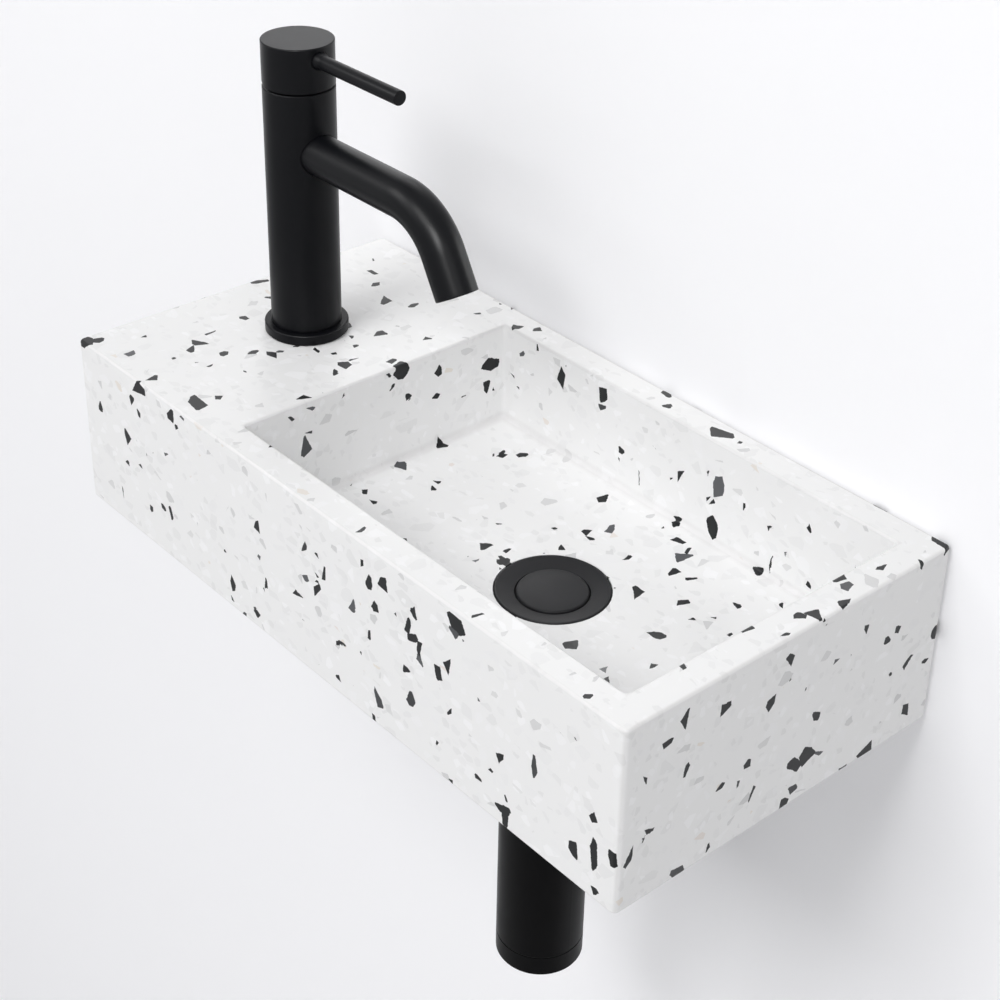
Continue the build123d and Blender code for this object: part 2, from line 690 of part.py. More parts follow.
def make_trap_body():
    """The bottle: a round body open at the foot, with a threaded neck on top and a hole for the side neck."""
    points = [
        (NECK_BORE_R, NECK_TOP),
        (NECK_R, NECK_TOP),
        (NECK_R, SHOULDER_Z),
        (TRAP_R, SHOULDER_Z),
        (TRAP_R, SEAM_TOP),
        (TRAP_BORE_R, SEAM_TOP),
        (TRAP_BORE_R, SHOULDER_Z - 3.0),
        (NECK_BORE_R, SHOULDER_Z - 3.0),
    ]
    return at_waste(turned(points)) - to_outlet(disc(NECK_BORE_R, 0, NECK_END))


def make_trap_side_neck():
    """The threaded side neck, brazed on the bottle round its hole."""
    return to_outlet(ring(NECK_R, NECK_BORE_R, 0, NECK_END)) - at_waste(disc(TRAP_R, SEAM_TOP, SHOULDER_Z))


def make_trap_body_nut():
    """The nut that holds the inlet tube in the bottle's top neck."""
    return at_waste(compression_nut(NECK_TOP, TOP_NUT_GRIP))


def make_trap_body_seal():
    """The tapered seal round the inlet tube."""
    return at_waste(compression_seal(NECK_TOP))


def make_trap_cup():
    """The cleaning cup that closes the bottle's foot, with a threaded spigot."""
    foot = -TRAP_BOTTOM
    top = foot + CUP_H
    points = [
        (0, foot),
        (TRAP_R, foot),
        (TRAP_R, top),
        (TRAP_BORE_R - SEAT_GAP, top),
        (TRAP_BORE_R - SEAT_GAP, top + 9.0),
        (TRAP_BORE_R - 2.4, top + 9.0),
        (TRAP_BORE_R - 2.4, foot + 3.0),
        (0, foot + 3.0),
    ]
    piece = turned(points)
    return at_waste(fillet(circle_edges(piece, TRAP_R, foot), 1.0))


def make_cup_seal():
    """The seal that shows as a dark line between the cup and the bottle."""
    top = -TRAP_BOTTOM + CUP_H
    return at_waste(ring(TRAP_R - 0.5, TRAP_BORE_R - SEAT_GAP + 0.1, top, top + SEAM_H))


def make_outlet_nut():
    """The nut that holds the outlet pipe in the bottle's side neck."""
    return to_outlet(compression_nut(NECK_END, SIDE_NUT_GRIP))


def make_outlet_seal():
    """The tapered seal round the outlet pipe."""
    return to_outlet(compression_seal(NECK_END))


def make_outlet_pipe():
    """The outlet pipe, from inside the bottle's side neck to the wall."""
    return to_outlet(ring(PIPE_R, PIPE_BORE_R, TRAP_BORE_R + 4.0, -WASTE_Y))


def make_wall_rosette():
    """The thin cover plate round the pipe at the wall."""
    wall = -WASTE_Y
    points = [
        (PIPE_R + SEAT_GAP, wall - ROSETTE_H),
        (ROSETTE_R - 8.0, wall - ROSETTE_H),
        (ROSETTE_R, wall - 3.0),
        (ROSETTE_R, wall),
        (ROSETTE_R - 1.5, wall),
        (ROSETTE_R - 1.5, wall - 2.4),
        (ROSETTE_R - 8.6, wall - ROSETTE_H + 1.5),
        (PIPE_R + SEAT_GAP, wall - ROSETTE_H + 1.5),
    ]
    return to_outlet(turned(points))


PIECES = {
    "basin_block": make_basin_block,
    "tap_base_seal": make_tap_base_seal,
    "tap_base_ring": make_tap_base_ring,
    "tap_body": make_tap_body,
    "spout": make_spout,
    "aerator_housing": make_aerator_housing,
    "aerator_screen": make_aerator_screen,
    "cartridge": make_cartridge,
    "cartridge_nut": make_cartridge_nut,
    "stem_carrier": make_stem_carrier,
    "pivot_pin": make_pivot_pin,
    "stem_blade": make_stem_blade,
    "handle_cap": make_handle_cap,
    "lever_pin": make_lever_pin,
    "grub_screw": make_grub_screw,
    "tap_shank": make_tap_shank,
    "shank_seal": make_shank_seal,
    "shank_plate": make_shank_plate,
    "shank_nut": make_shank_nut,
    "waste_body": make_waste_body,
    "waste_seal": make_waste_seal,
    "plug_cap": make_plug_cap,
    "plug_seal": make_plug_seal,
    "click_stem": make_click_stem,
    "click_barrel": make_click_barrel,
    "waste_washer": make_waste_washer,
    "waste_backnut": make_waste_backnut,
    "trap_inlet_nut": make_trap_inlet_nut,
    "inlet_seal": make_inlet_seal,
    "inlet_tube": make_inlet_tube,
    "trap_body_nut": make_trap_body_nut,
    "trap_body_seal": make_trap_body_seal,
    "trap_body": make_trap_body,
    "trap_side_neck": make_trap_side_neck,
    "trap_cup": make_trap_cup,
    "cup_seal": make_cup_seal,
    "outlet_nut": make_outlet_nut,
    "outlet_seal": make_outlet_seal,
    "outlet_pipe": make_outlet_pipe,
    "wall_rosette": make_wall_rosette,
}

os.makedirs("parts", exist_ok=True)
for name, make in PIECES.items():
    export_step(make(), f"parts/{name}.step")
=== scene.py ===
import json
import logging
import math
from dataclasses import dataclass
from enum import Enum
from typing import Any, Optional, Sequence

import bmesh
import bpy
from mathutils import Matrix, Vector


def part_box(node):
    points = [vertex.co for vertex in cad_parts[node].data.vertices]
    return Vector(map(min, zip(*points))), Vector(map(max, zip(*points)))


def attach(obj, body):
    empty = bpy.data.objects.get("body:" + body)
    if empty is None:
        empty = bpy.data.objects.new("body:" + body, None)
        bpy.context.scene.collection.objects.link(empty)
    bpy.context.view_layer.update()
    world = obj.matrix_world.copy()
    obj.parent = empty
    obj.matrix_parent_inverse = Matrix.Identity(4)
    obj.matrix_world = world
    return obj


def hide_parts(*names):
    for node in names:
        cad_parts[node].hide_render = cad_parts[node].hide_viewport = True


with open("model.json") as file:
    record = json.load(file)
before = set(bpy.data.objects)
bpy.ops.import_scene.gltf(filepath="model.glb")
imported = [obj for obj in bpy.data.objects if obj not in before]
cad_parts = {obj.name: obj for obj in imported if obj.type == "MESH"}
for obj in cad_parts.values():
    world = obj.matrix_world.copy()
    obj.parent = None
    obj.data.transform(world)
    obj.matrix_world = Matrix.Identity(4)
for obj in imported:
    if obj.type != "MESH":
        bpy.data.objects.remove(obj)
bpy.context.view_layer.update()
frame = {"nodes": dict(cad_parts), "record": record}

MM = 0.001
MM_IN_METRE = 1000.0
# Blender's wave texture turns its sine by this many radians in each unit.
WAVE_RATE = 20.0
log = logging.getLogger("hand_basin")

Point = tuple[float, float]
Corner = tuple[float, float, float]


class Body(Enum):
    """The bodies that new pieces ride on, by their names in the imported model."""

    BASIN = "basin"
    HANDLE_LIFT = "handle_lift"


class Lie(Enum):
    """The way a turned piece's own axis points once it is in place."""

    UP = "up"
    TO_THE_RIGHT = "to the right"


# Small helpers


def linear(hex_colour: str) -> tuple[float, float, float, float]:
    """Turns an sRGB hex colour into the linear colour that a shader works with.

    Args:
        hex_colour: six hex digits, with or without a leading hash.

    Returns:
        Red, green, blue and alpha, each from 0 to 1.
    """
    digits = hex_colour.lstrip("#")
    parts = [int(digits[i:i + 2], 16) / 255 for i in (0, 2, 4)]
    red, green, blue = (c / 12.92 if c <= 0.04045 else ((c + 0.055) / 1.055) ** 2.4 for c in parts)
    return red, green, blue, 1.0


def add_node(tree: bpy.types.NodeTree, kind: str, inputs: Optional[dict] = None, **settings: Any) -> bpy.types.Node:
    """Adds one node, with its settings, its values and its links.

    Args:
        tree: the material's or the geometry's node tree.
        kind: the node's Blender type.
        inputs: for each socket, by name or number, a plain value or the output socket that feeds it.
        **settings: the node's own settings.

    Returns:
        The new node.
    """
    node = tree.nodes.new(kind)
    for name, value in settings.items():
        setattr(node, name, value)
    for key, value in (inputs or {}).items():
        if isinstance(value, bpy.types.NodeSocket):
            tree.links.new(value, node.inputs[key])
        else:
            node.inputs[key].default_value = value
    return node


def work_out(tree: bpy.types.NodeTree, known: dict[str, Any], sums: Sequence[tuple]) -> bpy.types.NodeSocket:
    """Adds a formula to a node tree, one sum after another.

    Args:
        tree: the material's or the geometry's node tree.
        known: the sockets and numbers that the formula starts from, by name. Each result joins them.
        sums: for each result its name, Blender's name for the operation, and its parts as names or numbers.

    Returns:
        The last result.
    """
    for name, operation, *parts in sums:
        inputs = {i: known[part] if isinstance(part, str) else part for i, part in enumerate(parts)}
        known[name] = add_node(tree, "ShaderNodeMath", inputs, operation=operation).outputs[0]
    return known[sums[-1][0]]


def clear_start_up_objects() -> None:
    """Removes the cube, lamp and camera that an empty file starts with."""
    for name in ("Cube", "Light", "Camera"):
        if name in bpy.data.objects:
            bpy.data.objects.remove(bpy.data.objects[name])


# Finishes


@dataclass(frozen=True)
class ChipLayer:
    """One size of crushed stone chips, cut through by the surface as they lie in the block.

    Each chip is one cell of a random cell pattern in space, so it runs on round the block's edges. The share is
    the part of the cells that hold a chip, and the margin is the binder between a chip and its cell's wall.
    """

    size_mm: float
    share: float
    margin_mm: tuple[float, float]
    stretch: tuple[float, float, float]
    turn: tuple[float, float, float]
    seed: float
    fade_mm: float = 0.12

    def mask(self, tree: bpy.types.NodeTree, place: bpy.types.NodeSocket,
             crowd: Any = 1.0) -> tuple[bpy.types.NodeSocket, bpy.types.NodeSocket]:
        """Builds the nodes that say where this layer's chips are.

        Args:
            tree: the material's node tree.
            place: the point on the block, in millimetres.
            crowd: a factor of about 1, or its socket, that makes the chips denser or sparser.

        Returns:
            The mask, 1 inside a chip, and a random number for each chip's tone.
        """
        cell_place = add_node(tree, "ShaderNodeMapping", {
            "Vector": place, "Location": (self.seed, 2 * self.seed, 3 * self.seed),
            "Rotation": tuple(math.radians(a) for a in self.turn),
            "Scale": tuple(s / self.size_mm for s in self.stretch),
        }).outputs[0]
        cell = add_node(tree, "ShaderNodeTexVoronoi", {"Vector": cell_place, "Scale": 1.0})
        rim = add_node(tree, "ShaderNodeTexVoronoi", {"Vector": cell_place, "Scale": 1.0}, feature="DISTANCE_TO_EDGE")
        dice = add_node(tree, "ShaderNodeSeparateColor", {0: cell.outputs["Color"]}).outputs
        low, high = (m / self.size_mm for m in self.margin_mm)
        margin = add_node(tree, "ShaderNodeMapRange", {0: dice[1], 3: low, 4: high})
        known = {"rim": rim.outputs["Distance"], "margin": margin.outputs[0], "crowd": crowd, "dice": dice[0]}
        inward = work_out(tree, known, [("inward", "SUBTRACT", "rim", "margin")])
        inside = add_node(tree, "ShaderNodeMapRange", {0: inward, 2: self.fade_mm / self.size_mm},
                          interpolation_type="SMOOTHSTEP")
        known["inside"] = inside.outputs[0]
        chip = work_out(tree, known, (
            ("share", "MULTIPLY", self.share, "crowd"),
            ("chosen", "LESS_THAN", "dice", "share"),
            ("chip", "MULTIPLY", "chosen", "inside"),
        ))
        return chip, dice[2]


@dataclass(frozen=True)
class HonedTerrazzo:
    """White terrazzo: marble chips and flour in a white binder, cast, ground flat and honed.

    To the eye it is a bright, nearly even white with a soft sheen. Sharp black chips lie far apart in it, with
    a few grey ones, and a faint mosaic of white and cream chips shows only close up.

    The block is its width, depth, foot and top, and the bowl its left, right, front and back, in millimetres.
    The crumble and the crowding are how fast the chips' edges and their density change, per millimetre.
    """

    name: str = "honed_white_terrazzo"
    binder: str = "#EDEDED"
    # Painted shade along the arrises and the bowl's foot: its colour, the distances over which it fades, and its
    # strength.
    edge_shade: str = "#D9D8D8"
    roughness: float = 0.5
    chip_roughness: float = 0.38
    block: tuple[float, float, float, float] = (450.0, 220.0, -21.0, 84.0)
    bowl: tuple[float, float, float, float] = (-85.0, 206.5, -201.5, -18.5)
    bowl_floor: float = 22.0
    black: str = "#161719"
    grey: str = "#58595C"
    crumble: float = 0.4
    wander_mm: float = 0.9
    crowding: float = 0.017
    edge_shade_mm: tuple[float, float] = (0.4, 2.0)
    edge_shade_most: float = 0.6
    foot_share: float = 0.4

    def dark_layers(self) -> tuple[ChipLayer, ...]:
        """The black chips, from the few large ones to the small splinters."""
        return (
            ChipLayer(13.5, 0.032, (1.9, 4.0), (0.95, 1.1, 0.9), (20, 35, 50), 14.1),
            ChipLayer(10.0, 0.052, (1.2, 2.8), (1.0, 1.15, 0.85), (65, 15, 30), 27.9),
            ChipLayer(9.0, 0.036, (0.8, 1.9), (1.35, 1.1, 0.7), (35, 20, 10), 41.1),
            ChipLayer(5.5, 0.015, (0.5, 1.3), (1.0, 0.8, 1.15), (10, 70, 25), 63.7),
        )

    def material(self) -> bpy.types.Material:
        """Builds the stone, all of it in the block's own millimetres.

        Returns:
            The material.
        """
        made = bpy.data.materials.new(self.name)
        made.use_nodes = True
        tree = made.node_tree
        tree.nodes.clear()
        where = add_node(tree, "ShaderNodeTexCoord")
        place = add_node(tree, "ShaderNodeVectorMath", {
            0: where.outputs["Object"], 3: MM_IN_METRE,
        }, operation="SCALE")
        # Crushed stone breaks with slightly uneven edges: up to 0.4 mm of wander over about 2.5 mm.
        ragged = add_node(tree, "ShaderNodeTexNoise", {
            "Vector": place.outputs[0], "Scale": self.crumble, "Detail": 2.0,
        })
        centred = add_node(tree, "ShaderNodeVectorMath", {0: ragged.outputs["Color"], 1: (0.5, 0.5, 0.5)},
                           operation="SUBTRACT")
        wander = add_node(tree, "ShaderNodeVectorMath", {0: centred.outputs[0], 3: self.wander_mm}, operation="SCALE")
        uneven = add_node(tree, "ShaderNodeVectorMath", {0: place.outputs[0], 1: wander.outputs[0]},
                          operation="ADD").outputs[0]
        # The mix isn't even: the chips crowd over spans of about 60 mm.
        stirring = add_node(tree, "ShaderNodeTexNoise", {
            "Vector": place.outputs[0], "Scale": self.crowding, "Detail": 1.0,
        })
        crowd = add_node(tree, "ShaderNodeMapRange", {0: stirring.outputs[0], 1: 0.35, 2: 0.65, 3: 0.45, 4: 1.6})

        colour = self.pale_mosaic(tree, uneven)
        # Painted shade: the arrises and the bowl's foot are painted a little darker than the faces, which tones down
        # the bright lines that the lamps draw along their roundings.
        edge = add_node(tree, "ShaderNodeMapRange", {
            0: self.to_edge(tree, place.outputs[0]), 1: self.edge_shade_mm[0], 2: self.edge_shade_mm[1], 3: self.edge_shade_most, 4: 0.0,
        })
        colour = add_node(tree, "ShaderNodeMix", {
            0: edge.outputs[0], 6: colour, 7: linear(self.edge_shade),
        }, data_type="RGBA").outputs[2]
        dark_mask, dark_tone = None, None
        for layer in self.dark_layers():
            mask, tone = layer.mask(tree, uneven, crowd.outputs[0])
            if dark_mask is None:
                dark_mask, dark_tone = mask, tone
                continue
            dark_tone = add_node(tree, "ShaderNodeMix", {0: mask, 2: dark_tone, 3: tone}).outputs[0]
            dark_mask = add_node(tree, "ShaderNodeMath", {0: dark_mask, 1: mask}, operation="MAXIMUM").outputs[0]
        # Most are nearly black, and up to one in five goes towards grey.
        greyness = add_node(tree, "ShaderNodeMapRange", {0: dark_tone, 1: 0.8}, interpolation_type="SMOOTHSTEP")
        black = add_node(tree, "ShaderNodeMix", {
            0: greyness.outputs[0], 6: linear(self.black), 7: linear(self.grey),
        }, data_type="RGBA").outputs[2]
        colour = add_node(tree, "ShaderNodeMix", {0: dark_mask, 6: colour, 7: black}, data_type="RGBA").outputs[2]
        gloss = add_node(tree, "ShaderNodeMapRange", {0: dark_mask, 3: self.roughness, 4: self.chip_roughness})
        surface = add_node(tree, "ShaderNodeBsdfPrincipled", {
            "Base Color": colour, "Roughness": gloss.outputs[0], "IOR": 1.5, "Specular IOR Level": 0.25,
        })
        add_node(tree, "ShaderNodeOutputMaterial", {"Surface": surface.outputs[0]})
        return made

    def to_edge(self, tree: bpy.types.NodeTree, place: bpy.types.NodeSocket) -> bpy.types.NodeSocket:
        """The distance to the nearest arris of the block, of the bowl's rim or to the bowl's foot.

        Args:
            tree: the material's node tree.
            place: the point on the block, in millimetres.

        Returns:
            The distance in millimetres, small only near an edge.
        """
        spot = add_node(tree, "ShaderNodeSeparateXYZ", {0: place}).outputs
        width, depth, foot, top = self.block
        left, right, front, back = self.bowl
        return work_out(tree, {"x": spot[0], "y": spot[1], "z": spot[2]}, (
            ("side", "ABSOLUTE", "x"), ("side", "SUBTRACT", width / 2, "side"),
            ("face", "ADD", "y", depth), ("rear", "MULTIPLY", "y", -1.0), ("face", "MINIMUM", "face", "rear"),
            ("under", "SUBTRACT", top, "z"), ("over", "SUBTRACT", "z", foot),
            ("level", "MINIMUM", "under", "over"),
            # An arris is where two of the three distances are small, so it is the middle one that counts.
            ("least", "MINIMUM", "side", "face"), ("most", "MAXIMUM", "side", "face"),
            ("most", "MINIMUM", "most", "level"), ("arris", "MAXIMUM", "least", "most"),
            ("across", "SUBTRACT", "x", (left + right) / 2), ("across", "ABSOLUTE", "across"),
            ("across", "SUBTRACT", "across", (right - left) / 2),
            ("along", "SUBTRACT", "y", (front + back) / 2), ("along", "ABSOLUTE", "along"),
            ("along", "SUBTRACT", "along", (back - front) / 2),
            ("mouth", "MAXIMUM", "across", "along"), ("mouth", "ABSOLUTE", "mouth"),
            ("rim", "MAXIMUM", "mouth", "under"),
            ("depth", "SUBTRACT", "z", self.bowl_floor), ("depth", "ABSOLUTE", "depth"),
            # The painted shade at the bowl's foot spreads over a wider band, so only a part of that distance counts.
            ("corner", "MAXIMUM", "mouth", "depth"), ("corner", "MULTIPLY", "corner", self.foot_share),
            ("near", "MINIMUM", "arris", "rim"), ("near", "MINIMUM", "near", "corner"),
        ))

    def pale_mosaic(self, tree: bpy.types.NodeTree, place: bpy.types.NodeSocket) -> bpy.types.NodeSocket:
        """The binder with its white, cream and grey chips.

        Args:
            tree: the material's node tree.
            place: the point on the block, in millimetres.

        Returns:
            The colour.
        """
        colour = linear(self.binder)
        pale_kinds = (
            (ChipLayer(9.0, 0.4, (0.5, 2.0), (1.0, 0.8, 1.2), (15, 40, 70), 5.1), "#F4F4F5", "#E4E4E4", 0.8),
            (ChipLayer(5.0, 0.4, (0.3, 1.0), (0.8, 1.3, 1.0), (50, 20, 35), 17.7), "#F5F5F6", "#E1E1E1", 0.75),
            (ChipLayer(7.0, 0.05, (0.6, 1.9), (1.0, 0.75, 1.25), (25, 60, 40), 33.3), "#C8C8C9", "#DADADA", 0.8),
            (ChipLayer(6.0, 0.012, (0.6, 1.8), (0.8, 1.0, 1.2), (70, 30, 20), 52.9), "#E3DDD3", "#E2DAD5", 0.75),
        )
        for layer, one, other, strength in pale_kinds:
            mask, tone = layer.mask(tree, place)
            tint = add_node(tree, "ShaderNodeMix", {
                0: tone, 6: linear(one), 7: linear(other),
            }, data_type="RGBA").outputs[2]
            faint = work_out(tree, {"mask": mask}, [("faint", "MULTIPLY", "mask", strength)])
            colour = add_node(tree, "ShaderNodeMix", {0: faint, 6: colour, 7: tint}, data_type="RGBA").outputs[2]
        return colour


@dataclass(frozen=True)
class PowderCoat:
    """Baked powder coating on metal.

    To the eye it is an even, deep colour with a broad, soft highlight, because its surface has a very low, fine
    orange peel.
    """

    name: str
    colour: str
    roughness: float
    specular: float = 0.4
    peel_mm: float = 0.9
    peel_depth_mm: float = 0.012

    def material(self) -> bpy.types.Material:
        """Builds the coating.

        Returns:
            The material.
        """
        made = bpy.data.materials.new(self.name)
        made.use_nodes = True
        tree = made.node_tree
        tree.nodes.clear()
        where = add_node(tree, "ShaderNodeTexCoord")
        peel = add_node(tree, "ShaderNodeTexNoise", {
            "Vector": where.outputs["Object"], "Scale": MM_IN_METRE / self.peel_mm, "Detail": 1.0,
        })
        bump = add_node(tree, "ShaderNodeBump", {
            "Height": peel.outputs[0], "Strength": 0.5, "Distance": self.peel_depth_mm * MM,
        })
        cloud = add_node(tree, "ShaderNodeTexNoise", {"Vector": where.outputs["Object"], "Scale": 60.0, "Detail": 3.0})
        uneven = add_node(tree, "ShaderNodeMapRange", {
            0: cloud.outputs[0], 1: 0.3, 2: 0.7, 3: self.roughness - 0.02, 4: self.roughness + 0.03,
        })
        surface = add_node(tree, "ShaderNodeBsdfPrincipled", {
            "Base Color": linear(self.colour), "Roughness": uneven.outputs[0],
            "Specular IOR Level": self.specular, "Normal": bump.outputs[0],
        })
        add_node(tree, "ShaderNodeOutputMaterial", {"Surface": surface.outputs[0]})
        return made


@dataclass(frozen=True)
class TurnedMetal:
    """Bare metal from the lathe.

    To the eye it is bright, with fine tool rings that draw the light out into a band across them.
    """

    name: str
    colour: str
    shade: str
    roughness: float
    ring_mm: float = 2.2
    ring_depth_mm: float = 0.01

    def material(self) -> bpy.types.Material:
        """Builds the metal. Its rings are 2.2 mm apart and not the real 0.1 mm, so that they show.

        Returns:
            The material.
        """
        made = bpy.data.materials.new(self.name)
        made.use_nodes = True
        tree = made.node_tree
        tree.nodes.clear()
        where = add_node(tree, "ShaderNodeTexCoord")
        rings = add_node(tree, "ShaderNodeTexWave", {
            "Vector": where.outputs["Object"], "Distortion": 0.4,
            "Scale": 2 * math.pi * MM_IN_METRE / (WAVE_RATE * self.ring_mm),
        }, bands_direction="Z")
        bump = add_node(tree, "ShaderNodeBump", {
            "Height": rings.outputs[1], "Strength": 0.25, "Distance": self.ring_depth_mm * MM,
        })
        stain = add_node(tree, "ShaderNodeTexNoise", {"Vector": where.outputs["Object"], "Scale": 90.0, "Detail": 4.0})
        colour = add_node(tree, "ShaderNodeMix", {
            0: stain.outputs[0], 6: linear(self.colour), 7: linear(self.shade),
        }, data_type="RGBA")
        dull = add_node(tree, "ShaderNodeMapRange", {
            0: stain.outputs[0], 1: 0.3, 2: 0.7, 3: self.roughness - 0.05, 4: self.roughness + 0.08,
        })
        surface = add_node(tree, "ShaderNodeBsdfPrincipled", {
            "Base Color": colour.outputs[2], "Metallic": 1.0, "Roughness": dull.outputs[0], "Normal": bump.outputs[0],
        })
        add_node(tree, "ShaderNodeOutputMaterial", {"Surface": surface.outputs[0]})
        return made


@dataclass(frozen=True)
class MouldedPolymer:
    """Rubber or plastic from a mould.

    To the eye it is matt and even, with a fine grain from the mould and a faint bloom of lighter dust.
    """

    name: str
    colour: str
    bloom: str
    roughness: float
    grain_mm: float = 0.6
    grain_depth_mm: float = 0.02

    def material(self) -> bpy.types.Material:
        """Builds the polymer.

        Returns:
            The material.
        """
        made = bpy.data.materials.new(self.name)
        made.use_nodes = True
        tree = made.node_tree
        tree.nodes.clear()
        where = add_node(tree, "ShaderNodeTexCoord")
        grain = add_node(tree, "ShaderNodeTexNoise", {
            "Vector": where.outputs["Object"], "Scale": MM_IN_METRE / self.grain_mm, "Detail": 2.0,
        })
        bump = add_node(tree, "ShaderNodeBump", {
            "Height": grain.outputs[0], "Strength": 0.4, "Distance": self.grain_depth_mm * MM,
        })
        dust = add_node(tree, "ShaderNodeTexNoise", {"Vector": where.outputs["Object"], "Scale": 45.0, "Detail": 5.0})
        thin = add_node(tree, "ShaderNodeMapRange", {0: dust.outputs[0], 1: 0.45, 2: 0.8, 3: 0.0, 4: 0.5})
        colour = add_node(tree, "ShaderNodeMix", {
            0: thin.outputs[0], 6: linear(self.colour), 7: linear(self.bloom),
        }, data_type="RGBA")
        surface = add_node(tree, "ShaderNodeBsdfPrincipled", {
            "Base Color": colour.outputs[2], "Roughness": self.roughness, "Specular IOR Level": 0.4,
            "Normal": bump.outputs[0],
        })
        add_node(tree, "ShaderNodeOutputMaterial", {"Surface": surface.outputs[0]})
        return made


@dataclass(frozen=True)
class PaintedWall:
    """A pale painted wall that is seen from its front, holds the shadows and lets the light of the room through."""

    name: str = "pale_painted_wall"
    colour: str = "#F9F9FB"
    glow: float = 0.03

    def material(self) -> bpy.types.Material:
        """Builds the wall's paint.

        Returns:
            The material.
        """
        made = bpy.data.materials.new(self.name)
        made.use_nodes = True
        tree = made.node_tree
        tree.nodes.clear()
        ray = add_node(tree, "ShaderNodeLightPath").outputs
        side = add_node(tree, "ShaderNodeNewGeometry").outputs
        known = {"camera": ray["Is Camera Ray"], "glossy": ray["Is Glossy Ray"], "back": side["Backfacing"]}
        shown = work_out(tree, known, (
            ("seen", "MAXIMUM", "camera", "glossy"), ("front", "SUBTRACT", 1.0, "back"),
            ("shown", "MULTIPLY", "seen", "front"),
        ))
        paint = add_node(tree, "ShaderNodeBsdfDiffuse", {"Color": linear(self.colour)})
        lift = add_node(tree, "ShaderNodeEmission", {"Color": linear(self.colour), "Strength": self.glow})
        lit = add_node(tree, "ShaderNodeAddShader", {0: paint.outputs[0], 1: lift.outputs[0]})
        clear = add_node(tree, "ShaderNodeBsdfTransparent")
        both = add_node(tree, "ShaderNodeMixShader", {0: shown, 1: clear.outputs[0], 2: lit.outputs[0]})
        add_node(tree, "ShaderNodeOutputMaterial", {"Surface": both.outputs[0]})
        return made


class Finishes:
    """One material of each finish, shared by the pieces."""

    def __init__(self) -> None:
        """Builds all the finishes once."""
        self.stone = HonedTerrazzo().material()
        self.tap_black = PowderCoat("satin_black_powder_coat", "#0C0D10", 0.32, 0.12).material()
        self.waste_grey = PowderCoat("matt_graphite_powder_coat", "#242426", 0.5, 0.11).material()
        # Painted shade: the trap's coat is a darker copy of the tap's black, for its place in the shadow under the
        # basin.
        self.trap_black = PowderCoat("deep_black_powder_coat", "#020203", 0.34, 0.08).material()
        self.brass = TurnedMetal("turned_brass", "#C9A25A", "#B58E4B", 0.3).material()
        self.steel = TurnedMetal("turned_stainless_steel", "#B9B9B7", "#A6A6A4", 0.28).material()
        self.rubber = MouldedPolymer("moulded_black_rubber", "#1A1A1A", "#2B2B2B", 0.75).material()
        self.black_plastic = MouldedPolymer("moulded_black_acetal", "#17181A", "#242528", 0.5).material()
        self.valve_plastic = MouldedPolymer("moulded_grey_nylon", "#C4C3BD", "#B4B3AD", 0.5).material()
        self.slots = {
            "terrazzo": self.stone, "tap_black": self.tap_black, "waste_grey": self.waste_grey,
            "trap_black": self.trap_black, "brass": self.brass, "steel": self.steel, "rubber": self.rubber,
            "black_plastic": self.black_plastic, "cartridge_plastic": self.valve_plastic,
        }


# Shapes


def soften(corners: Sequence[Corner], steps: int = 5) -> list[Point]:
    """Rounds the corners of a closed half profile.

    Args:
        corners: radius, height and rounding of each corner, in millimetres.
        steps: how many short edges a rounded corner gets.

    Returns:
        The rounded profile's points.
    """
    points: list[Point] = []
    count = len(corners)
    for i, (r, z, rounding) in enumerate(corners):
        here = Vector((r, z))
        if rounding <= 0:
            points.append((r, z))
            continue
        before = (Vector(corners[i - 1][:2]) - here).normalized()
        after = (Vector(corners[(i + 1) % count][:2]) - here).normalized()
        half = before.angle(after) / 2
        reach = rounding / math.tan(half)
        start, end = here + before * reach, here + after * reach
        centre = here + (before + after).normalized() * (rounding / math.sin(half))
        for k in range(steps + 1):
            mid = start.lerp(end, k / steps) - centre
            spot = centre + mid.normalized() * rounding
            points.append((spot.x, spot.y))
    return points


def divide(points: Sequence[Point], low: float, high: float, step: float, radius: float) -> list[Point]:
    """Adds even rows to the upright runs of a profile at one radius, where a rule will move them.

    Args:
        points: the closed half profile.
        low: the lowest height that needs rows.
        high: the highest height that needs rows.
        step: the largest distance between two rows.
        radius: the radius of the runs that get rows.

    Returns:
        The profile with its added rows.
    """
    made: list[Point] = []
    for i, start in enumerate(points):
        made.append(start)
        end = points[(i + 1) % len(points)]
        if abs(start[0] - radius) > 1e-6 or abs(end[0] - radius) > 1e-6:
            continue
        a, b = (min(max(z, low), high) for z in (start[1], end[1]))
        rows = max(1, math.ceil(abs(b - a) / step))
        for k in range(0, rows + 1):
            z = a + (b - a) * k / rows
            if abs(z - made[-1][1]) > 1e-6 and abs(z - end[1]) > 1e-6:
                made.append((radius, z))
    return made


def turn_mesh(name: str, points: Sequence[Point], segments: int = 96) -> bpy.types.Object:
    """Turns a closed half profile round the Z axis, in millimetres, into a mesh in metres.

    Args:
        name: the piece's name.
        points: radius and height of each point of the profile.
        segments: how many steps one turn has.

    Returns:
        The new object, at the origin.
    """
    mesh = bmesh.new()
    rows = []
    for r, z in points:
        row = []
        for j in range(segments):
            angle = 2 * math.pi * j / segments
            row.append(mesh.verts.new((r * MM * math.cos(angle), r * MM * math.sin(angle), z * MM)))
        rows.append(row)
    for i, row in enumerate(rows):
        other = rows[(i + 1) % len(rows)]
        if points[i][0] <= 0 and points[(i + 1) % len(points)][0] <= 0:
            continue
        for j in range(segments):
            k = (j + 1) % segments
            mesh.faces.new((row[j], row[k], other[k], other[j]))
    bmesh.ops.remove_doubles(mesh, verts=mesh.verts, dist=1e-7)
    bmesh.ops.recalc_face_normals(mesh, faces=mesh.faces)
    return finish_mesh(name, mesh)


